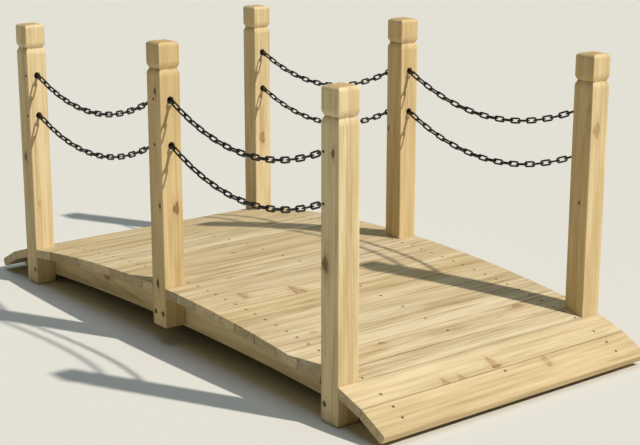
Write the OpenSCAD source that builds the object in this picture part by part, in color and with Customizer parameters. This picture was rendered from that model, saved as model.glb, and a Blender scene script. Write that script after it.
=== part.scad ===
// Low arched timber footbridge with six posts and hanging chain rails, in millimetres.
// X runs along the walk, Y across it and Z up. The origin is on the ground under the middle.

/* [Posts] */
// Side of the square posts
post_w = 51; // [40:1:70]
// Distance from one post to the next along the walk
post_pitch = 590; // [480:5:720]
// Distance between the two rows of posts, centre to centre
row_spacing = 668; // [520:2:860]
// Height of the four end posts
post_h = 642; // [560:1:800]
// How far the tops of the middle posts stand above those of the end posts
middle_rise = 18.5; // [0:0.5:40]
// Clearance between the ground and the feet of the middle posts
middle_foot = 40; // [20:1:60]
// Height of the block above the groove of each post
cap_h = 46.5; // [30:0.5:70]
// Height of the groove at the surface of the post
groove_h = 20; // [8:1:26]
// Depth of the groove
groove_d = 5; // [2:0.5:9]
// Bevel of the lips of the groove
groove_lip = 3; // [1:0.5:4]
// Rounding of the upper edges of the cap
cap_round = 9.5; // [3:0.5:12]
// Rounding of the upright edges of the posts
post_round = 2.5; // [1:0.5:5]
// Bevel round the feet of the posts
foot_bevel = 3.5; // [1:0.5:6]

/* [Deck] */
// Height of the walking surface at mid span
crown_z = 131.5; // [120:0.5:160]
// Fall of the walking surface from mid span to the outer faces of the end posts
deck_fall = 49; // [30:1:55]
// Thickness of every board
board_t = 20; // [14:1:26]
// Width of the deck boards, before they are planed to fill the deck evenly
board_w = 69; // [50:1:110]
// Gap between neighbouring boards
board_gap = 1.2; // [0.6:0.2:6]
// Rounding of the long edges of the boards
board_round = 1; // [0.5:0.5:4]
// Room round a post where a board is cut to pass it
notch_room = 0.3; // [0.2:0.1:1]

/* [Ramps] */
// Slope of the sloped boards next to the end posts, in degrees
ramp_angle = 18; // [12:0.5:22]
// Slope of the last board at each end, in degrees
nose_angle = 27; // [23:0.5:32]
// Width of each sloped board
ramp_board_w = 72; // [55:1:85]
// Rounding of the front edge of the last board
nose_round = 5; // [3:0.5:9]

/* [Beams] */
// Thickness of the three beams under the boards
beam_t = 29; // [20:1:40]
// Height of the lower edge of the beams at mid span
beam_z = 37; // [25:1:50]
// Height of the lower edge of the beams at their ends
beam_end_z = 7.5; // [3:0.5:14]
// How far the beams stop short of the front edge of the ramps
beam_inset = 20; // [10:1:50]

/* [Bolt holes] */
// Diameter of the holes that the foot bolts are sunk in
bolt_hole_d = 13; // [10:0.5:16]
// Depth of those holes
bolt_hole_depth = 9; // [6:0.5:14]
// Distance from the bolt holes to the upright edges of the posts
bolt_edge = 11; // [9:0.5:16]
// Height of the bolts in the end posts
end_bolt_z = 38; // [28:1:50]
// Height of the bolts in the middle posts
middle_bolt_z = 72; // [60:1:90]

/* [Chains] */
// Depth of the upper chain holes below the caps
upper_drop = 75.5; // [50:0.5:110]
// Distance from the upper chain holes to the lower ones
rail_gap = 97; // [70:1:140]
// Diameter of the chain holes
hole_d = 16.5; // [16:0.5:20]
// Depth of the chain holes in the end posts
hole_depth = 20; // [18:1:30]
// Diameter of the wire of the links
wire_d = 4; // [3.2:0.1:4.2]
// Distance from one link to the next
link_pitch = 24.2; // [20:0.1:28]
// Clear width inside a link
link_inner = 5.8; // [5.4:0.1:6.2]
// Play between two hooked links
link_play = 0.4; // [0.3:0.1:0.6]
// Least share by which a chain is longer than the straight way between its ends
chain_slack = 0.02; // [0.01:0.005:0.05]
// Slant of the links that lie on the lips of the holes, in degrees
lip_slant = 11.5; // [8:0.5:13]
// Diameter of the nails that hold the chains in the posts
pin_d = 3; // [2:0.1:3.2]
// Length of those nails
pin_len = 40; // [36:1:48]
// Depth of the nails behind the inner faces of the end posts
pin_depth = 8; // [7:0.5:10]

/* [Hidden] */
$fn = 48;
half_post = post_w / 2;
half_row = row_spacing / 2;
outer_y = half_row + half_post;
inner_y = half_row - half_post;
near_face = post_pitch - half_post;
far_face = post_pitch + half_post;
middle_top = post_h + middle_rise;

// The deck boards lie side by side on an arc from one pair of end posts to the other.
deck_radius = (far_face * far_face + deck_fall * deck_fall) / (2 * deck_fall);
arc_z = crown_z - deck_radius;
arc_end = asin(near_face / deck_radius);
arc_len = 2 * arc_end * PI / 180 * deck_radius;
board_count = floor(2 * post_pitch / (board_w + board_gap));
board_step = 2 * arc_end / board_count;
board_fit = arc_len / board_count - board_gap;
end_angle = asin(post_pitch / deck_radius);
function board_angle(i) = (i - (board_count + 1) / 2) * board_step;

// Each ramp starts where the arc passes the outer faces of the end posts.
ramp_x = far_face + notch_room;
ramp_z = arc_z + sqrt(deck_radius * deck_radius - ramp_x * ramp_x);
ramp_step = ramp_board_w + board_gap;
last_x = ramp_x + ramp_step * cos(ramp_angle);
last_z = ramp_z - ramp_step * sin(ramp_angle);
nose_x = last_x + ramp_board_w * cos(nose_angle);
beam_end = nose_x - beam_inset;
beam_y = inner_y - beam_t / 2;
beam_rise = beam_z - beam_end_z;
beam_radius = (beam_end * beam_end + beam_rise * beam_rise) / (2 * beam_rise);
beam_steps = 24;
bolt_x = half_post - bolt_edge;

// The links: size, and the places where the chains are held.
wire_r = wire_d / 2;
pin_r = pin_d / 2;
link_bend = (link_inner + wire_d) / 2;
link_side = (link_pitch + link_play + wire_d) / 2 - link_bend;
end_hole_z = [for (k = [0, 1]) post_h - cap_h - upper_drop - k * rail_gap];
middle_hole_z = [for (k = [0, 1]) middle_top - cap_h - upper_drop - k * rail_gap];
hole_room = hole_d / 2 - link_bend - wire_r;
middle_link_rise = hole_room / 2;
middle_pin_rise = middle_link_rise + link_inner / 2 - pin_r - link_play;
pin_to_centre = (link_pitch - link_play) / 2 - pin_r;
pin_to_joint = pin_to_centre + link_pitch / 2;
end_pin_rise = pin_depth * sin(lip_slant) / 2;
pin_x = near_face + pin_depth;

// Hanging stretch of a chain, from the link on the lip of a middle post to that of an end post.
hang_start = [link_pitch / 2 + link_pitch * cos(lip_slant), middle_link_rise - link_pitch * sin(lip_slant)];
hang_end = [pin_x - pin_to_joint * cos(lip_slant), end_pin_rise - pin_to_joint * sin(lip_slant)];
hang_run = hang_end.x - hang_start.x;
hang_fall = hang_end.y - hang_start.y - middle_rise;
hang_straight = norm([hang_run, hang_fall]);
hang_links = 2 * ceil(hang_straight * (1 + chain_slack) / (2 * link_pitch));
hang_len = hang_links * link_pitch;

function sinh(x) = (exp(x) - exp(-x)) / 2;
function cosh(x) = (exp(x) + exp(-x)) / 2;
function asinh(x) = ln(x + sqrt(x * x + 1));

// Half the angle of a catenary whose length over run is ratio, found by halving an interval.
function half_angle(ratio, low = 0.001, high = 5, steps = 40) =
    let (mid = (low + high) / 2)
    steps == 0 ? mid
    : sinh(mid) / mid > ratio ? half_angle(ratio, low, mid, steps - 1)
    : half_angle(ratio, mid, high, steps - 1);

cat_ratio = sqrt(hang_len * hang_len - hang_fall * hang_fall) / hang_run;
cat_a = hang_run / (2 * half_angle(cat_ratio));
cat_mid = hang_run / 2 - cat_a * asinh(hang_fall / (2 * cat_a * sinh(hang_run / (2 * cat_a))));

// Point of the hanging stretch at a length along it from the middle post.
function hang_point(s) =
    let (x = cat_mid + cat_a * asinh(s / cat_a - sinh(cat_mid / cat_a)))
    hang_start + [x, cat_a * (cosh((x - cat_mid) / cat_a) - cosh(cat_mid / cat_a))];

sides = ["left", "right"];
ends = ["back", "front"];
places = ["back", "middle", "front"];
levels = ["upper", "lower"];

function side_sign(side) = side == "left" ? -1 : 1;
function end_sign(end) = end == "back" ? -1 : 1;
function board_name(i) = str("deck_board_", i < 10 ? "0" : "", i);

// Square of side w with round corners.
module round_square(w, r) {
    square([w, w - 2 * r], center = true);
    square([w - 2 * r, w], center = true);
    for (x = [-1, 1], y = [-1, 1])
        translate([x * (w / 2 - r), y * (w / 2 - r)])
            circle(r);
}

// Side view of a post from its foot to its top: bevelled foot, shaft, groove and rounded cap.
module post_outline(foot, top) {
    cap = top - cap_h;
    shoulder = cap - groove_h;
    slope = [groove_d, groove_h / 2];
    lip = groove_lip * slope / norm(slope);
    half = [
        [half_post - foot_bevel, foot],
        [half_post, foot + foot_bevel],
        [half_post, shoulder - groove_lip],
        [half_post - lip.x, shoulder + lip.y],
        [half_post - groove_d, shoulder + groove_h / 2],
        [half_post - lip.x, cap - lip.y],
        [half_post, cap + groove_lip],
        [half_post, top - cap_round]
    ];
    flat = half_post - cap_round;
    polygon(concat(half, [for (i = [len(half) - 1:-1:0]) [-half[i].x, half[i].y]]));
    translate([-flat, top - cap_round - foot_bevel])
        square([2 * flat, cap_round + foot_bevel]);
    for (x = [-1, 1])
        translate([x * flat, top - cap_round])
            circle(cap_round);
}

// A post, standing at its own centre line: the same outline cut from two sides out of one timber.
module post_timber(foot, top) {
    intersection() {
        rotate([90, 0, 0])
            linear_extrude(post_w, center = true)
                post_outline(foot, top);
        rotate([90, 0, 90])
            linear_extrude(post_w, center = true)
                post_outline(foot, top);
        translate([0, 0, foot])
            linear_extrude(top - foot)
                round_square(post_w, post_round);
    }
}

// Nail across a chain hole, driven in from the outer face of a post on the given side.
module nail(side, x, z) {
    translate([x, side * outer_y, z])
        rotate([side * 90, 0, 0])
            cylinder(d = pin_d, h = pin_len);
}

// The nails of one side: two in each post.
module chain_nails(side, place_list = places) {
    for (place = place_list, k = [0, 1])
        if (place == "middle")
            nail(side, 0, middle_hole_z[k] + middle_pin_rise);
        else
            nail(side, end_sign(place) * pin_x, end_hole_z[k] + end_pin_rise);
}

// Holes in the outer face of a post for the bolts that hold it to its beam.
module bolt_holes(side, place) {
    middle = place == "middle";
    for (x = middle ? [-bolt_x, bolt_x] : [end_sign(place) * (post_pitch - bolt_x)])
        translate([x, side * outer_y, middle ? middle_bolt_z : end_bolt_z])
            rotate([90, 0, 0])
                cylinder(d = bolt_hole_d, h = 2 * bolt_hole_depth, center = true);
}

// A post in its place, bored for the bolts, the chains and the nails that hold the chains.
module post(side, place) {
    middle = place == "middle";
    x = middle ? 0 : end_sign(place) * post_pitch;
    color("burlywood")
        difference() {
            translate([x, side * half_row, 0])
                post_timber(middle ? middle_foot : 0, middle ? middle_top : post_h);
            for (k = [0, 1])
                if (middle)
                    translate([0, side * half_row, middle_hole_z[k]])
                        rotate([0, 90, 0])
                            cylinder(d = hole_d, h = post_w + 2 * post_round, center = true);
                else
                    translate([end_sign(place) * near_face, side * half_row, end_hole_z[k]])
                        rotate([0, 90, 0])
                            cylinder(d = hole_d, h = 2 * hole_depth, center = true);
            chain_nails(side, [place]);
            bolt_holes(side, place);
        }
}

// Side view of a beam: a flat seat under each board of the arch, straight under the ramps, hollowed below.
module beam_outline() {
    seat_r = deck_radius - board_t;
    boards = [for (i = [1:board_count]) board_angle(i)];
    angles = concat([-2 * end_angle, -end_angle], boards, [end_angle, 2 * end_angle]);
    seats = [
        for (i = [1:len(angles) - 1])
            let (turn = (angles[i] - angles[i - 1]) / 2, corner = angles[i] - turn, r = seat_r / cos(turn))
            [r * sin(corner), arc_z + r * cos(corner)]
    ];
    hollow = [
        for (i = [beam_steps:-1:-beam_steps])
            let (x = beam_end * i / beam_steps)
            [x, beam_z - beam_radius + sqrt(beam_radius * beam_radius - x * x)]
    ];
    peak = ramp_z + ramp_x * tan(ramp_angle) - board_t / cos(ramp_angle);
    last_peak = last_z + last_x * tan(nose_angle) - board_t / cos(nose_angle);
    bend = (last_peak - peak) / (tan(nose_angle) - tan(ramp_angle));
    bend_z = peak - bend * tan(ramp_angle);
    end_top = last_peak - beam_end * tan(nose_angle);
    intersection() {
        polygon(concat(seats, hollow));
        polygon([
            [-beam_end, 0], [beam_end, 0], [beam_end, end_top], [bend, bend_z],
            [0, peak], [-bend, bend_z], [-beam_end, end_top]
        ]);
    }
}

module beam(y) {
    color("tan")
        translate([0, y, 0])
            rotate([90, 0, 0])
                linear_extrude(beam_t, center = true)
                    beam_outline();
}

// Cross-section of a board of width w, flat on its upper face at height zero, edges rounded.
module board_section(w) {
    translate([-w / 2, board_round - board_t])
        square([w, board_t - 2 * board_round]);
    translate([board_round - w / 2, -board_t])
        square([w - 2 * board_round, board_t]);
    for (x = [-1, 1], y = [-1, 1])
        translate([x * (w / 2 - board_round), y * (board_t / 2 - board_round) - board_t / 2])
            circle(board_round);
}

// A board of width w and length l laid across the beams at an angle along the arc.
module arc_board(angle, w, l) {
    translate([0, 0, arc_z])
        rotate([0, angle, 0])
            translate([0, 0, deck_radius])
                rotate([90, 0, 0])
                    linear_extrude(l, center = true)
                        board_section(w);
}

// Deck board number i from the back, cut out round the middle posts.
module deck_board(i) {
    notch = post_w + 2 * notch_room;
    color("wheat")
        difference() {
            arc_board(board_angle(i), board_fit, 2 * outer_y);
            for (side = [-1, 1])
                translate([0, side * (inner_y - notch_room + notch / 2 + post_round), crown_z - board_t])
                    cube([notch, notch + 2 * post_round, 4 * board_t], center = true);
        }
}

// Narrow board that fills the deck between the two posts of one end.
module end_board(end) {
    color("wheat")
        arc_board(end * end_angle, post_w - board_gap, 2 * (inner_y - notch_room));
}

// Side view of the sloped board next to the posts, cut plumb where it meets them.
module first_ramp_outline() {
    spare = board_t * tan(ramp_angle);
    intersection() {
        rotate(-ramp_angle)
            translate([(ramp_board_w - spare) / 2, 0])
                board_section(ramp_board_w + spare);
        translate([0, -2 * ramp_board_w])
            square([2 * ramp_board_w, 3 * ramp_board_w]);
    }
}

// Side view of the last sloped board: cut to meet the board before it, and with a rounded front edge.
module last_ramp_outline() {
    w = ramp_board_w;
    slant = board_t * tan(nose_angle - ramp_angle);
    rotate(-ramp_angle)
        translate([ramp_step, 0])
            rotate(ramp_angle - nose_angle)
                union() {
                    polygon([[0, 0], [slant, -board_t], [w - nose_round, -board_t], [w - nose_round, 0]]);
                    translate([w / 2, nose_round - board_t])
                        square([w / 2, board_t - 2 * nose_round]);
                    for (y = [-nose_round, nose_round - board_t])
                        translate([w - nose_round, y])
                            circle(nose_round);
                }
}

// Sloped board k of one end, counted from the posts.
module ramp_board(end, k) {
    color("wheat")
        mirror([end < 0 ? 1 : 0, 0, 0])
            translate([ramp_x, 0, ramp_z])
                rotate([90, 0, 0])
                    linear_extrude(2 * outer_y, center = true)
                        if (k == 1)
                            first_ramp_outline();
                        else
                            last_ramp_outline();
}

// One link about its centre, long along X and flat in the XZ plane.
module link() {
    for (turn = [0, 180])
        rotate([90, turn, 0])
            translate([link_side, 0, 0])
                rotate([0, 0, -90])
                    rotate_extrude(angle = 180)
                        translate([link_bend, 0])
                            circle(wire_r);
    for (z = [-1, 1])
        translate([-link_side, 0, z * link_bend])
            rotate([0, 90, 0])
                cylinder(r = wire_r, h = 2 * link_side);
}

// A link centred between two points of the chain's line, upright or turned flat.
module link_between(a, b, flat) {
    slope = atan2(b.y - a.y, b.x - a.x);
    centre = (a + b) / 2;
    translate([centre.x, 0, centre.y])
        rotate([0, -slope, 0])
            rotate([flat ? 90 : 0, 0, 0])
                link();
}

// Half of a chain from the middle post towards +X, about the middle hole's centre.
module half_chain() {
    lip_start = [link_pitch / 2, middle_link_rise];
    pinned = hang_end - [0, middle_rise];
    slant = [cos(lip_slant), sin(lip_slant)];
    link_between(lip_start, hang_start, true);
    for (i = [0:hang_links - 1])
        link_between(hang_point(i * link_pitch), hang_point((i + 1) * link_pitch), i % 2 == 1);
    link_between(pinned, pinned + link_pitch * slant, false);
}

// A whole chain of one side: through the middle post and into both end posts.
module chain(side, level) {
    rise = [0, middle_link_rise];
    half = [link_pitch / 2, 0];
    color("dimgray")
        translate([0, side * half_row, middle_hole_z[level]]) {
            link_between(rise - half, rise + half, false);
            half_chain();
            mirror([1, 0, 0])
                half_chain();
        }
}

for (s = sides, p = places)
    post(side_sign(s), p);
beam(-beam_y);  // beam_left
beam(0);  // beam_centre
beam(beam_y);  // beam_right
for (i = [1:board_count])
    deck_board(i);
for (e = ends)
    end_board(end_sign(e));
for (e = ends, k = [1, 2])
    ramp_board(end_sign(e), k);
for (s = sides, l = [0, 1])
    chain(side_sign(s), l);
for (s = sides)
    color("silver") chain_nails(side_sign(s));
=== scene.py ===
"""Low arched timber footbridge: grooved posts, a plank deck on three beams, and black chains for rails."""

import bpy
import numpy as np
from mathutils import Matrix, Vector


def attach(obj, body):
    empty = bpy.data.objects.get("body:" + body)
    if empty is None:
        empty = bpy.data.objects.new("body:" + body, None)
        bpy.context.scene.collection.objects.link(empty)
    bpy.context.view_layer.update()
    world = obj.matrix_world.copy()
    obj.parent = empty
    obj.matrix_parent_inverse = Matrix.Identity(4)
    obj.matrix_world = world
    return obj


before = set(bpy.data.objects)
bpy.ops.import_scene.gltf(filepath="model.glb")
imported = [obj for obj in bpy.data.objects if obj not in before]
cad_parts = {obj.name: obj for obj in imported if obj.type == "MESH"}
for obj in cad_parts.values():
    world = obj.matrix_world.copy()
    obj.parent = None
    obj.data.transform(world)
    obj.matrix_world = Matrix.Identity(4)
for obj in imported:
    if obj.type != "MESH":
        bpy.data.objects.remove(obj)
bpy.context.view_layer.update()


# Posts: six square timbers of 51 mm, planed on four sides and left bare, each with a V-groove sawn under
# a rounded cap. The grain runs upright. The end posts stand on the ground, and the middle ones hang from
# the beams that they are bolted to.
MM = 0.001


class Wire:
    """A shader socket that adds, subtracts, multiplies and divides like a number, and makes other nodes."""

    def __init__(self, tree, socket=None):
        self.tree, self.socket = tree, socket

    def node(self, kind, settings=None, inputs=None, out=0):
        """Adds a node of that kind: settings by name first, then its sockets as values or links."""
        new = self.tree.nodes.new(kind)
        for name, value in (settings or {}).items():
            setattr(new, name, value)
        for name, value in (inputs or {}).items():
            if isinstance(value, Wire):
                self.tree.links.new(value.socket, new.inputs[name])
            else:
                new.inputs[name].default_value = value
        return Wire(self.tree, new.outputs[out])

    def other(self, out):
        """Another output of the same node."""
        return Wire(self.tree, self.socket.node.outputs[out])

    def math(self, operation, *values, clamp=False):
        """A Math node with this socket as its first value."""
        return self.node("ShaderNodeMath", {"operation": operation, "use_clamp": clamp},
                         dict(enumerate((self,) + values)))

    def held(self, times=1.0):
        """This value times a number, kept between 0 and 1."""
        return self.math("MULTIPLY", times, clamp=True)

    def step(self, low, high):
        """Smooth step: 0 up to low and 1 from high on, or the other way round where low is the larger."""
        limits = {1: min(low, high), 2: max(low, high), 3: float(low > high), 4: float(low <= high)}
        return self.node("ShaderNodeMapRange", {"interpolation_type": "SMOOTHSTEP"}, {0: self, **limits})

    def mix(self, a, b):
        """Blend of two colours with this socket as the share of the second."""
        return self.node("ShaderNodeMix", {"data_type": "RGBA"}, {0: self, 6: a, 7: b}, out=2)

    def __add__(self, other): return self.math("ADD", other)
    def __sub__(self, other): return self.math("SUBTRACT", other)
    def __mul__(self, other): return self.math("MULTIPLY", other)
    def __truediv__(self, other): return self.math("DIVIDE", other)
    def __rsub__(self, other): return (self * -1.0) + other
    def __rtruediv__(self, other): return self.math("POWER", -1.0) * other
    __radd__, __rmul__ = __add__, __mul__


def bare_material(name):
    """A new material, and a wire on its nodes that stands for no socket yet."""
    made = bpy.data.materials.new(name)
    made.use_nodes = True
    return made, Wire(made.node_tree)


def link_surface(made, feeds, height, strength):
    """Joins what changes over a surface to its shader: the feeds by the names of their sockets, and a bump
    from the height in mm. Gives back the shader."""
    shader = made.node_tree.nodes["Principled BSDF"]
    bump = Wire(made.node_tree).node(
        "ShaderNodeBump", None, {"Strength": strength, "Distance": MM, "Height": height}, out="Normal")
    for socket, value in {**feeds, "Normal": bump}.items():
        made.node_tree.links.new(value.socket, shader.inputs[socket])
    return shader


def timber(name, lay, seed, pale, dark, ring, pith, figure=1.0, knots=(), nails=None, ends=None,
           end_tone=None, dirt_and_shade=None, sawn=0.0):
    """Solid wood for one piece. Rings are equal steps of the distance from a slanted pith line, bent by slow
    noise and pushed aside by knots, and each ring darkens with the fourth power of its saw-tooth. Patches,
    streaks and fibres are noises drawn out along the grain, and figure is how strongly all these marks show.
    A knot is a wedge, brown inside a broken dark rim. Dirt and shade is the share of darkening along a joint
    or groove: in a post's groove it is painted shade under the groove's upper lip, and along a board's joint
    it is partly dirt and partly painted shade. The bump's height in mm is the sum of rings, fibres, knots
    and dents."""
    made, bare = bare_material(name)
    point = bare.node("ShaderNodeSeparateXYZ", None, {0: bare.node("ShaderNodeTexCoord", out="Object")})
    along, across, depth = lay(point / MM, point.other(1) / MM, point.other(2) / MM)
    seed_stride = 3.7

    def noise(length, width, detail, shift):
        """Noise about zero whose marks are length mm along the grain and width mm across it."""
        start = seed * seed_stride + shift
        spot = bare.node("ShaderNodeCombineXYZ", None,
                         {0: along / length + start, 1: across / width, 2: depth / width + seed})
        grey = bare.node("ShaderNodeTexNoise", None,
                         {"Vector": spot, "Scale": 1.0, "Detail": detail, "Roughness": 0.55})
        return grey * 2.0 - 1.0

    broad = noise(length=900.0, width=38.0, detail=1.0, shift=0.0)
    patch = noise(length=190.0, width=19.0, detail=2.0, shift=7.0)
    fibre = noise(length=60.0, width=1.4, detail=2.0, shift=11.0)
    streak = noise(length=300.0, width=1.1 * ring, detail=3.0, shift=23.0)
    ragged = noise(length=13.0, width=5.0, detail=4.0, shift=31.0)

    # A knot's height, width and fullness, how its wedge opens, and where its parts begin and end, all as
    # shares of its radius. A knot that shows on one face only fades within some mm of the piece's middle.
    round_form, spike_form = (1.0, 1.5, 1.0), (2.3, 0.9, 0.6)
    wedge_flare, wedge_least, heart_ragged, halo_ragged = 0.55, 0.25, 0.8, 0.5
    halo_along, halo_cross, face_fade, push_rings = 0.16, 0.6, 6.0, 1.3
    heart_fade, rim_rise, rim_fade = (1.2, 0.6), (0.62, 0.95), (1.35, 1.0)
    halo_fade, push_fade = (1.7, 0.2), (3.4, 0.4)
    push, heart, rim, halo = 0.0, None, None, None
    for place, beside, size, strength, through, side in knots:
        cross, inward = (depth, across) if through == "across" else (across, depth)
        tall, wide, full = spike_form if through == "spike" else round_form
        up = (cross - beside) / (size * tall)
        out = (along - place) / size / (up * wedge_flare + wide).math("MAXIMUM", wedge_least)
        gap = (out * out + up * up).math("SQRT") + ragged * heart_ragged
        far = (out * out * halo_along + up * up * halo_cross).math("SQRT") + ragged * halo_ragged
        shown = strength if side == 0 else (inward * side).step(-face_fade, face_fade) * strength
        parts = (gap.step(*heart_fade) * shown * full,
                 gap.step(*rim_rise) * gap.step(*rim_fade) * shown,
                 far.step(*halo_fade) * shown)
        push = gap.step(*push_fade) * shown * (ring * push_rings) + push
        heart, rim, halo = parts if heart is None else (
            old.math("MAXIMUM", new) for old, new in zip((heart, rim, halo), parts))

    # Rings: how many mm slow noise and streaks bend them, and how each mark counts towards the dark colour.
    ring_bend, ring_waver, late_power, late_end = 16.0, 2.2, 4.0, 0.93
    late_tone, late_patch, streak_tone, patch_tone, broad_tone, fibre_tone = 0.36, 0.5, 0.62, 0.52, 0.5, 0.32
    plain_tone, figure_tone = 0.31, 0.07
    pith_across, pith_depth, slant = pith
    below = depth - pith_depth + along * slant
    aside = across - pith_across
    from_pith = (aside * aside + below * below).math("SQRT")
    saw = ((from_pith + broad * ring_bend + streak * ring_waver + push) / ring).math("FRACT")
    late = saw.math("POWER", late_power) * saw.step(1.0, late_end)
    shade = (late * (late_tone + patch * late_patch) + streak * streak_tone + patch * patch_tone
             + broad * broad_tone + fibre * fibre_tone)
    colour = (shade * figure + (plain_tone - figure_tone * figure)).held().mix(pale, dark)
    ring_high, fibre_high, streak_high, planed_rough, fibre_rough = 0.05, 0.08, 0.06, 0.64, 0.12
    height = late * ring_high + fibre * fibre_high + streak * streak_high
    roughness = fibre * fibre_rough + planed_rough
    if heart is not None:
        halo_tan, heart_brown = (0.46, 0.27, 0.105, 1.0), (0.30, 0.165, 0.068, 1.0)
        heart_black, rim_dark = (0.05, 0.032, 0.02, 1.0), (0.10, 0.055, 0.026, 1.0)
        halo_share, brown_share, brown_fibre, black_from, black_gain = 0.5, 0.75, 0.7, 0.9, 1.4
        rim_share, rim_streak, rim_fibre, rim_crack, heart_gloss = 0.5, 1.3, 0.8, 0.14, 0.1
        brown = (heart * (brown_share + fibre * brown_fibre)).held()
        black = (heart - black_from).held(black_gain)
        edge = (rim * (rim_share + streak * rim_streak + fibre * rim_fibre)).held()
        colour = brown.mix((halo * halo_share).mix(colour, halo_tan), heart_brown)
        colour = edge.mix(black.mix(colour, heart_black), rim_dark)
        height = height + rim * -rim_crack
        roughness = roughness - heart * heart_gloss
    if nails is not None:
        nail_stain, stain_share, stain_fade = (0.12, 0.075, 0.04, 1.0), 0.5, (5.2, 2.0)
        dent_deep, dent_fade = 0.3, (4.2, 2.4)
        nail_gap = nails(along, across)
        colour = (nail_gap.step(*stain_fade) * stain_share).mix(colour, nail_stain)
        height = height + nail_gap.step(*dent_fade) * -dent_deep
    if ends is not None:
        end_late, end_speckle, end_patch, end_plain, dark_share = 0.5, 0.6, 0.5, 0.4, 0.96
        speckle_high, end_rough = 0.12, 0.15
        end_grain = ends(along, across)
        speckle = noise(length=4.0, width=1.3, detail=2.0, shift=47.0)
        end_pale, end_dark = (tuple(share * c * tone for c, tone in zip(wood, end_tone))
                              for wood, share in ((pale, 1.0), (dark, dark_share)))
        end_shade = (late * end_late + speckle * end_speckle + patch * end_patch + end_plain).held()
        colour = end_grain.mix(colour, end_shade.mix(end_pale, end_dark))
        height = height + end_grain * speckle * speckle_high
        roughness = roughness + end_grain * end_rough
    # Painted shade along a groove or joint: a darker band where shade falls, and along a board's joint
    # partly real dirt as well.
    if dirt_and_shade is not None:
        dirt_and_shade_brown, dirt_and_shade_share, dirt_and_shade_patch = (0.13, 0.08, 0.04, 1.0), 0.8, 0.9
        colour = (dirt_and_shade(along, across) * (dirt_and_shade_share + patch * dirt_and_shade_patch)).held().mix(colour, dirt_and_shade_brown)
    if sawn:
        height = height + noise(length=2.2, width=40.0, detail=1.0, shift=61.0) * sawn
    shader = link_surface(made, {"Base Color": colour, "Roughness": roughness}, height, strength=0.8)
    shader.inputs["Specular IOR Level"].default_value = 0.25
    return made


POST_PALES = {
    "post_left_front": (0.750, 0.615, 0.370, 1.0), "post_left_middle": (0.690, 0.525, 0.275, 1.0),
    "post_left_back": (0.725, 0.585, 0.345, 1.0), "post_right_front": (0.725, 0.570, 0.325, 1.0),
    "post_right_middle": (0.735, 0.560, 0.305, 1.0), "post_right_back": (0.725, 0.585, 0.345, 1.0),
}
POST_DARK = (0.42, 0.285, 0.110, 1.0)
POST_END_TONE, POST_FIGURE = (0.94, 0.84, 0.74, 1.0), 0.9
post_side, post_pitch, row_half = 51.0, 590.0, 334.0
end_top, middle_top, middle_foot, groove_drop = 642.0, 660.5, 40.0, 56.5
# The dark line at the bottom of each post's groove is painted shade, the shadow of the groove's upper lip.
groove_painted_shade, groove_reach = 0.5, (2.2, 0.4)
cap_grain_from, cap_grain_full, foot_grain_from, foot_grain_full = 1.6, 0.6, 1.4, 0.4

# Each knot: its place along the grain and beside it, its radius in mm, its strength, the way that it runs
# through the piece, and the face that it shows on, -1 or 1, or 0 for both.
post_knots = {
    "post_left_front": [(521.0, 10.0, 4.5, 1.25, "depth", -1), (309.0, -12.5, 9.0, 1.2, "depth", -1)],
    "post_left_middle": [(557.0, 6.0, 4.0, 1.5, "depth", -1), (137.0, -3.0, 4.5, 1.6, "depth", -1),
                         (313.0, 14.0, 3.6, 1.4, "depth", -1), (304.0, 7.0, 7.0, 1.1, "across", 1)],
    "post_left_back": [(319.0, -4.0, 6.5, 1.25, "depth", -1), (205.0, -9.0, 5.5, 0.3, "across", 1)],
    "post_right_front": [(484.0, -9.0, 8.5, 0.7, "across", 1), (329.0, 2.0, 2.4, 1.3, "depth", -1),
                         (190.0, 8.0, 5.0, 0.6, "depth", 1)],
    "post_right_middle": [(397.0, -18.0, 2.6, 1.3, "depth", -1), (450.0, 10.0, 4.5, 0.5, "depth", 1)],
    "post_right_back": [(288.0, -4.0, 8.5, 0.85, "across", 1), (520.0, -4.0, 4.0, 0.7, "depth", 1)],
}
for number, (name, knots) in enumerate(post_knots.items()):
    row = -1.0 if "left" in name else 1.0
    stand = {"front": post_pitch, "middle": 0.0, "back": -post_pitch}[name.rsplit("_", 1)[1]]
    top, foot = (middle_top, middle_foot) if "middle" in name else (end_top, 0.0)
    seed, ring = 1.3 + 2.17 * number, 4.2 + 0.5 * (number % 3)
    pith = (22.0 * np.sin(2.1 * number + 0.6), -row * (38.0 + 9.0 * (number % 2)),
            0.012 * np.cos(1.7 * number))
    material = timber(
        "planed_" + name, lambda x, y, z: (z, x - stand, y - row * row_half), seed,
        POST_PALES[name], POST_DARK, ring, pith, figure=POST_FIGURE, knots=knots, end_tone=POST_END_TONE,
        # The groove line is painted shade under the groove's upper lip.
        dirt_and_shade=lambda z, x: (z - (top - groove_drop)).math("ABSOLUTE").step(*groove_reach) * groove_painted_shade,
        ends=lambda z, x: z.step(top - cap_grain_from, top - cap_grain_full).math(
            "MAXIMUM", z.step(foot + foot_grain_from, foot + foot_grain_full)))
    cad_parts[name].material_slots[0].material = material


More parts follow.
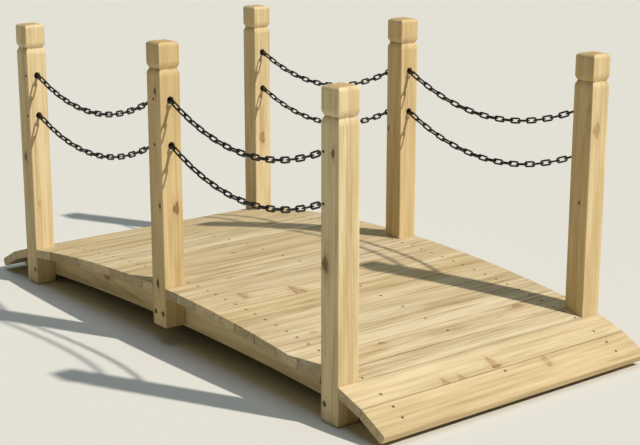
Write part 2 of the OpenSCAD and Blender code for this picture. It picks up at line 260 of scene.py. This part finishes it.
# Beams: three planks on edge, 29 mm thick, sawn to the arch above and hollowed below, and left rough from
# the saw. The boards lie on them, and the outer two are bolted to the inner faces of the posts.
# The beams' pale colour is lighter than the other wood's: painted fill light for the shade under the deck.
BEAM_PALE_WITH_PAINTED_FILL, BEAM_DARK = (0.80, 0.66, 0.37, 1.0), (0.48, 0.34, 0.15, 1.0)
BEAM_END_TONE = (0.86, 0.84, 0.84, 1.0)
beam_thick, beam_end, beam_grain_from, saw_marks = 29.0, 729.6, 1.0, 0.16
beam_out = row_half - post_side / 2 - beam_thick / 2
beam_lines = {"beam_left": -beam_out, "beam_centre": 0.0, "beam_right": beam_out}
for number, (name, line) in enumerate(beam_lines.items()):
    material = timber(
        "sawn_" + name, lambda x, y, z: (x, z, y - line), 31.0 + 3.1 * number, BEAM_PALE_WITH_PAINTED_FILL, BEAM_DARK,
        ring=5.0, pith=(40.0 + 14.0 * number, 60.0, 0.02),
        knots=[(-310.0 + 170.0 * number, 70.0, 7.0, 0.9, "depth", 0),
               (225.0 - 60.0 * number, 86.0, 5.5, 0.8, "depth", 0)],
        ends=lambda x, z: x.math("ABSOLUTE").step(beam_end - beam_grain_from, beam_end),
        end_tone=BEAM_END_TONE, sawn=saw_marks)
    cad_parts[name].material_slots[0].material = material


# Deck boards: sixteen planks across the walk with softened edges, a narrow one between each pair of end
# posts, and two sloped ones at each end. Their grain runs across the walk, and each is cut from another
# part of the log, so tone, rings and knots differ from board to board. Nails hold them to the beams.
BOARD_PALES = ((0.690, 0.548, 0.331, 1.0), (0.655, 0.514, 0.301, 1.0), (0.703, 0.570, 0.361, 1.0),
               (0.642, 0.497, 0.280, 1.0), (0.677, 0.548, 0.344, 1.0))
BOARD_DARK = (0.37, 0.252, 0.110, 1.0)
END_TONES = (1.10, 0.90, 1.24, 0.99, 0.77, 1.16, 0.94)
DECK_FIGURE, RAMP_FIGURE = 1.12, 0.82
board_count, board_gap, notch_room, ramp_wide = 16, 1.2, 0.3, 72.0
deck_fall, deck_crown, ramp_turn, last_turn = 49.0, 131.5, np.radians(18.0), np.radians(27.0)
# Along each joint a board darkens within 2 mm: partly dirt, partly painted shade that falls into the joint.
joint_dirt_and_shade, joint_reach, board_grain_from, board_grain_full = 0.42, (2.0, 0.4), 0.8, 0.2
post_in, post_out = post_pitch - post_side / 2, post_pitch + post_side / 2
half_width = row_half + post_side / 2
deck_radius = (post_out ** 2 + deck_fall ** 2) / (2 * deck_fall)
arc_centre = deck_crown - deck_radius
board_turn = 2 * np.arcsin(post_in / deck_radius) / board_count
end_turn = np.arcsin(post_pitch / deck_radius)
end_half = row_half - post_side / 2 - notch_room
ramp_start = post_out + notch_room
ramp_height = arc_centre + np.sqrt(deck_radius ** 2 - ramp_start ** 2)
last_start = ramp_start + (ramp_wide + board_gap) * np.cos(ramp_turn)
last_height = ramp_height - (ramp_wide + board_gap) * np.sin(ramp_turn)
deck_joint = (deck_radius * board_turn - board_gap) / 2
end_joint, ramp_joint = (post_side - board_gap) / 2, ramp_wide / 2

# Each board: its slope, the point at the middle of its upper face, half its length, how far up or down the
# slope its nails are, on the outer beams and on the middle one, and where its joints are. The nails of the
# deck boards waver by a few mm, as nails driven by eye do.
nail_apart, nail_waver = 17.0, 2.5
boards = {}
for i in range(board_count):
    turn = (i - (board_count - 1) / 2) * board_turn
    waver = nail_waver * np.sin(2.9 * i)
    boards["deck_board_%02d" % (i + 1)] = (
        turn, deck_radius * np.sin(turn), arc_centre + deck_radius * np.cos(turn), half_width,
        (-nail_apart + waver, nail_apart - 0.6 * waver), (1.4 * waver,), (-deck_joint, deck_joint))
for end, sign in (("back", -1.0), ("front", 1.0)):
    boards["end_board_" + end] = (
        sign * end_turn, sign * post_pitch, arc_centre + deck_radius * np.cos(end_turn), end_half,
        (-14.0 * sign, 18.0 * sign), (), (-end_joint, end_joint))
    boards["ramp_board_%s_1" % end] = (
        sign * ramp_turn, sign * (ramp_start + ramp_joint * np.cos(ramp_turn)),
        ramp_height - ramp_joint * np.sin(ramp_turn), half_width,
        (12.0 * sign,), (), (-ramp_joint, ramp_joint))
    boards["ramp_board_%s_2" % end] = (
        sign * last_turn, sign * (last_start + ramp_joint * np.cos(last_turn)),
        last_height - ramp_joint * np.sin(last_turn), half_width,
        (-23.0 * sign, 6.0 * sign), (-27.0 * sign,), (-ramp_joint * sign,))
board_knots = {
    "deck_board_16": [(-162.0, -20.0, 5.0, 0.75, "depth", 0), (224.0, -26.0, 8.5, 0.85, "depth", 0)],
    "deck_board_11": [(-133.0, 20.0, 12.0, 0.85, "spike", 0), (-250.0, -20.0, 7.0, 0.8, "spike", 0)],
    "deck_board_07": [(-75.0, -20.0, 4.5, 0.7, "depth", 0)],
    "deck_board_14": [(-250.0, 14.0, 5.5, 0.5, "depth", 0)],
    "deck_board_09": [(70.0, 9.0, 6.0, 0.5, "depth", 0), (-200.0, 5.0, 4.0, 0.6, "depth", 0)],
    "deck_board_04": [(-150.0, 12.0, 5.0, 0.6, "depth", 0), (190.0, -16.0, 6.5, 0.5, "depth", 0)],
    "deck_board_02": [(60.0, -12.0, 5.5, 0.6, "depth", 0)],
    "ramp_board_front_1": [(-8.0, 16.0, 8.0, 0.8, "spike", 0), (-104.0, 28.0, 4.5, 0.7, "spike", 0),
                           (-146.0, 30.0, 6.0, 0.8, "spike", 0)],
    "ramp_board_front_2": [(112.0, -24.0, 6.5, 0.6, "spike", 0)],
    "ramp_board_back_1": [(90.0, -10.0, 6.0, 0.55, "depth", 0)],
    "ramp_board_back_2": [(-120.0, 12.0, 6.5, 0.5, "depth", 0)],
}
for number, (name, (turn, x0, z0, half, outer, middle, joints)) in enumerate(boards.items()):
    cosine, sine = float(np.cos(turn)), float(np.sin(turn))

    def lay(x, y, z):
        """Along the board, down its slope, and out of its upper face."""
        return y, (x - x0) * cosine - (z - z0) * sine, (x - x0) * sine + (z - z0) * cosine

    def nails(y, s):
        """Distance to the nearest nail."""
        rows = [(y.math("ABSOLUTE") - beam_out, seat) for seat in outer] + [(y, seat) for seat in middle]
        gaps = [(beside * beside + (s - seat) * (s - seat)).math("SQRT") for beside, seat in rows]
        nearest = gaps[0]
        for gap in gaps[1:]:
            nearest = nearest.math("MINIMUM", gap)
        return nearest

    def dirt_and_shade(y, s):
        """Dirt and painted shade within 2 mm of the nearest joint."""
        gaps = [(s - joint).math("ABSOLUTE") for joint in joints]
        nearest = gaps[0] if len(gaps) == 1 else gaps[0].math("MINIMUM", gaps[1])
        return nearest.step(*joint_reach) * joint_dirt_and_shade

    seed, ring = 60.0 + 2.73 * number, 7.0 + 0.8 * ((number * 2) % 5)
    pith = (46.0 * np.sin(1.9 * number), (-1.0) ** number * (40.0 + 13.0 * (number % 4)),
            0.02 * np.cos(2.3 * number))
    end_share = END_TONES[(4 * number) % len(END_TONES)]
    material = timber(
        "planed_" + name, lay, seed, BOARD_PALES[(3 * number) % len(BOARD_PALES)], BOARD_DARK, ring, pith,
        figure=RAMP_FIGURE if "ramp" in name else DECK_FIGURE, knots=board_knots.get(name, ()),
        nails=nails, dirt_and_shade=dirt_and_shade,
        ends=lambda y, s: y.math("ABSOLUTE").step(half - board_grain_from, half - board_grain_full),
        end_tone=(0.97 * end_share, 1.02 * end_share, 1.10 * end_share, 1.0))
    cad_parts[name].material_slots[0].material = material


# Deck nails: round wire nails driven flush through the boards into the beams, mostly two on each outer beam
# and one on the middle beam, their heads of 4.6 mm brown with rust.
def turned(name, profile, sides, seats, axes, material, outline=None):
    """Round pieces: a profile of (radius, height) in mm is carried round its own axis, widened by the
    outline at each angle, and copied to every seat (mm) with its height along that seat's axis. The first
    and last points of the profile are poles on the axis."""
    angle = np.arange(sides) * 2 * np.pi / sides
    wide = np.ones(sides) if outline is None else outline(angle)
    r, h = np.array(profile, float).T
    rings = np.stack([np.outer(r[1:-1], wide * np.cos(angle)), np.outer(r[1:-1], wide * np.sin(angle)),
                      np.repeat(h[1:-1, None], sides, axis=1)], axis=-1).reshape(-1, 3)
    shape = np.vstack([rings, [[0, 0, h[0]], [0, 0, h[-1]]]])
    axes = np.array(axes, float)
    axes /= np.linalg.norm(axes, axis=1, keepdims=True)
    aside = np.cross(np.where(np.abs(axes[:, 1:2]) > 0.7, (1.0, 0.0, 0.0), (0.0, 1.0, 0.0)), axes)
    aside /= np.linalg.norm(aside, axis=1, keepdims=True)
    basis = np.stack([aside, np.cross(axes, aside), axes], axis=1)
    points = (np.einsum("vi,kij->kvj", shape, basis) + np.array(seats, float)[:, None]) * MM
    ring = np.arange(sides)
    after = (ring + 1) % sides
    steps = np.arange(len(r) - 3)[:, None] * sides
    quads = np.stack([steps + ring, steps + after, steps + sides + after, steps + sides + ring],
                     axis=-1).reshape(-1, 4)
    low, high, last = len(shape) - 2, len(shape) - 1, (len(r) - 3) * sides
    fans = np.vstack([np.stack([after, ring, np.full(sides, low)], axis=-1),
                      np.stack([last + ring, last + after, np.full(sides, high)], axis=-1)])
    copies = np.arange(len(points))[:, None, None] * len(shape)
    mesh = bpy.data.meshes.new(name)
    mesh.from_pydata(points.reshape(-1, 3).tolist(), [],
                     (quads + copies).reshape(-1, 4).tolist() + (fans + copies).reshape(-1, 3).tolist())
    mesh.materials.append(material)
    mesh.shade_smooth()
    piece = bpy.data.objects.new(name, mesh)
    bpy.context.scene.collection.objects.link(piece)
    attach(piece, "root")


def dull_steel(name, colour, rust, roughness):
    """Weathered steel: blotches of two noises turn the grey to rust and change its gloss."""
    rust_grain, rust_rise, rust_rough, rust_metal = 0.3, (0.56, 0.78), 0.3, 0.7
    steel_metal, grain_high = 0.9, 0.12
    made, bare = bare_material(name)
    spot = bare.node("ShaderNodeTexCoord", out="Object")
    blotch = bare.node("ShaderNodeTexNoise", None, {"Vector": spot, "Scale": 420.0, "Detail": 3.0})
    grain = bare.node("ShaderNodeTexNoise", None, {"Vector": spot, "Scale": 1900.0, "Detail": 2.0})
    share = (blotch + grain * rust_grain).step(*rust_rise)
    link_surface(made, {"Base Color": share.mix(colour, rust), "Roughness": share * rust_rough + roughness,
                        "Metallic": steel_metal - share * rust_metal}, grain * grain_high, strength=0.5)
    return made


NAIL_GREY, NAIL_RUST = (0.060, 0.048, 0.040, 1.0), (0.075, 0.036, 0.018, 1.0)
nail_steel = dull_steel("rusty_nail_steel", NAIL_GREY, NAIL_RUST, roughness=0.55)
nail_profile = [(0, -1.5), (1.2, -1.5), (2.2, -0.2), (2.3, 0.06), (2.0, 0.2), (1.0, 0.16), (0, 0.12)]
nail_seats, nail_axes = [], []
for turn, x0, z0, _, outer, middle, _ in boards.values():
    places = [(line, seat) for line in (-beam_out, beam_out) for seat in outer]
    for y, s in places + [(0.0, seat) for seat in middle]:
        nail_seats.append((x0 + s * np.cos(turn), y, z0 - s * np.sin(turn)))
        nail_axes.append((np.sin(turn), 0.0, np.cos(turn)))
nail_sides = 12
turned("deck_nails", nail_profile, nail_sides, nail_seats, nail_axes, nail_steel)


# Foot bolts: hexagon bolts with washers, sunk in round holes in the outer faces of the posts, which hold
# the posts to the outer beams: one in each end post and two in each middle post.
BOLT_GREY, BOLT_RUST = (0.36, 0.35, 0.33, 1.0), (0.14, 0.085, 0.05, 1.0)
bolt_edge, hole_depth, end_bolt_height, middle_bolt_height = 11.0, 9.0, 38.0, 72.0
end_bolt, middle_bolt, bolt_floor = post_in + bolt_edge, post_side / 2 - bolt_edge, half_width - hole_depth
bolt_seats = [(x, side * bolt_floor, z) for side in (-1, 1)
              for x, z in ((-end_bolt, end_bolt_height), (-middle_bolt, middle_bolt_height),
                           (middle_bolt, middle_bolt_height), (end_bolt, end_bolt_height))]
bolt_axes = [(0.0, np.sign(seat[1]), 0.0) for seat in bolt_seats]
bolt_steel = dull_steel("weathered_bolt_steel", BOLT_GREY, BOLT_RUST, roughness=0.36)
washer_profile = [(0, 0.0), (6.1, 0.0), (6.3, 0.25), (6.3, 1.0), (6.0, 1.3), (3.0, 1.35), (0, 1.35)]
bolt_profile = [(0, 0.2), (3.9, 1.3), (4.0, 1.5), (4.0, 4.2), (3.75, 4.7), (3.3, 4.95), (1.5, 5.0), (0, 5.0)]


def hexagon(angle):
    """Radius of a regular hexagon over its inner radius: one over the cosine of the angle from the nearest
    flat."""
    return 1 / np.cos((angle + np.pi / 6) % (np.pi / 3) - np.pi / 6)


washer_sides, bolt_sides = 32, 36
turned("foot_bolt_washers", washer_profile, washer_sides, bolt_seats, bolt_axes, bolt_steel)
turned("foot_bolt_heads", bolt_profile, bolt_sides, bolt_seats, bolt_axes, bolt_steel,
       outline=hexagon)


# Chains: four runs of welded links of 4 mm wire, painted black, hung in two rows on each side. Each runs
# through the middle post into holes in both end posts, where nails driven across the holes hold it.
def black_paint(name):
    """Semi-gloss black paint: slow noise dulls it, and fine noise rubs it through to grey in specks."""
    fresh_black, dusty_black = (0.006, 0.006, 0.007, 1.0), (0.016, 0.015, 0.015, 1.0)
    rubbed_grey = (0.12, 0.115, 0.11, 1.0)
    rub_dust, rub_rise, dust_rise, dust_rough = 0.35, (0.87, 0.95), (0.35, 0.75), 0.3
    gloss_rough, rubbed_metal, speck_high = 0.24, 0.8, 0.1
    made, bare = bare_material(name)
    spot = bare.node("ShaderNodeTexCoord", out="Object")
    dust = bare.node("ShaderNodeTexNoise", None, {"Vector": spot, "Scale": 160.0, "Detail": 3.0})
    speck = bare.node("ShaderNodeTexNoise", None, {"Vector": spot, "Scale": 900.0, "Detail": 2.0})
    rubbed = (speck + dust * rub_dust).step(*rub_rise)
    colour = rubbed.mix(dust.step(*dust_rise).mix(fresh_black, dusty_black), rubbed_grey)
    link_surface(made, {"Base Color": colour, "Roughness": dust * dust_rough + gloss_rough,
                        "Metallic": rubbed * rubbed_metal}, speck * speck_high, strength=0.4)
    return made


chain_black = black_paint("black_chain_paint")
for name in ("chain_left_upper", "chain_left_lower", "chain_right_upper", "chain_right_lower"):
    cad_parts[name].material_slots[0].material = chain_black


# Chain nails: round steel nails driven into the outer faces of the posts, across the holes of the chains.
# The shanks are solids of their own, and their flat heads of 6 mm lie on the outer faces.
for name in ("chain_nails_left", "chain_nails_right"):
    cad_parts[name].material_slots[0].material = nail_steel
head_profile = [(0, -0.3), (2.2, -0.3), (3.0, 0.1), (3.0, 0.5), (2.5, 0.8), (1.2, 0.85), (0, 0.85)]
pin_depth, end_height, middle_height, rail_gap = 8.0, 520.8, 540.2, 97.0
end_pin = post_in + pin_depth
head_seats = [(x, side * half_width, upper - drop) for side in (-1, 1)
              for x, upper in ((-end_pin, end_height), (0.0, middle_height), (end_pin, end_height))
              for drop in (0.0, rail_gap)]
head_axes = [(0.0, np.sign(seat[1]), 0.0) for seat in head_seats]
head_sides = 16
turned("chain_nail_heads", head_profile, head_sides, head_seats, head_axes, nail_steel)


# Stage: a wide pale floor, a key light from beyond the front right post, a broad soft light overhead and a
# faint one from all round. The room beyond the floor shows as pale as the floor does.
FLOOR_COLOUR = (0.66, 0.63, 0.565, 1.0)
ROOM_LIGHT, ROOM_SHOWN = (1.0, 0.98, 0.62, 1.0), (0.77, 0.75, 0.67, 1.0)
KEY_TINT, OVERHEAD_TINT = (1.0, 0.97, 0.92), (0.62, 0.78, 1.0)
floor_half = 60.0
floor_mesh = bpy.data.meshes.new("floor")
floor_corners = [(x * floor_half, y * floor_half, 0.0) for x, y in ((-1, -1), (1, -1), (1, 1), (-1, 1))]
floor_mesh.from_pydata(floor_corners, [], [(0, 1, 2, 3)])
floor = bpy.data.objects.new("floor", floor_mesh)
floor_paint, _ = bare_material("pale_floor")
floor_shader = floor_paint.node_tree.nodes["Principled BSDF"]
floor_shader.inputs["Base Color"].default_value = FLOOR_COLOUR
floor_shader.inputs["Roughness"].default_value = 0.9
floor_shader.inputs["Specular IOR Level"].default_value = 0.0
floor_mesh.materials.append(floor_paint)
bpy.context.scene.collection.objects.link(floor)

for name, towards, energy, spread, tint in (("key", (0.619, 0.315, 0.719), 3.75, 1.6, KEY_TINT),
                                            ("overhead", (0.0, 0.0, 1.0), 1.0, 40.0, OVERHEAD_TINT)):
    light = bpy.data.lights.new(name, "SUN")
    light.energy, light.angle, light.color = energy, np.radians(spread), tint
    lamp = bpy.data.objects.new(name, light)
    lamp.rotation_euler = Vector(towards).to_track_quat("Z", "Y").to_euler()
    bpy.context.scene.collection.objects.link(lamp)
world = bpy.data.worlds.new("pale_room")
world.use_nodes = True
room = Wire(world.node_tree)
faint = room.node("ShaderNodeBackground", None, {"Color": ROOM_LIGHT, "Strength": 0.11})
shown = room.node("ShaderNodeBackground", None, {"Color": ROOM_SHOWN, "Strength": 1.0})
seen = room.node("ShaderNodeLightPath", out="Is Camera Ray")
mixed = room.node("ShaderNodeMixShader", None, {0: seen, 1: faint, 2: shown})
world.node_tree.links.new(mixed.socket, world.node_tree.nodes["World Output"].inputs["Surface"])
bpy.context.scene.world = world
bpy.context.scene.view_settings.view_transform = "Standard"

# Camera: the place and turn fitted to the posts of the photograph, for a frame of 640 by 445. The lens is
# 0.4 % shorter than the fitted one, which keeps the right end of the front ramp in the frame.
frame_wide, focal_pixels, sensor_wide = 640, 1463.0, 36.0
look_down, look_round = 14.39, 51.7
lens = bpy.data.cameras.new("camera")
lens.sensor_fit, lens.sensor_width = "HORIZONTAL", sensor_wide
lens.lens = focal_pixels / frame_wide * sensor_wide
camera = bpy.data.objects.new("camera", lens)
camera.location = (2.59324, -1.96323, 1.05084)
camera.rotation_euler = (np.radians(90 - look_down), 0.0, np.radians(look_round))
bpy.context.scene.collection.objects.link(camera)
bpy.context.scene.camera = camera
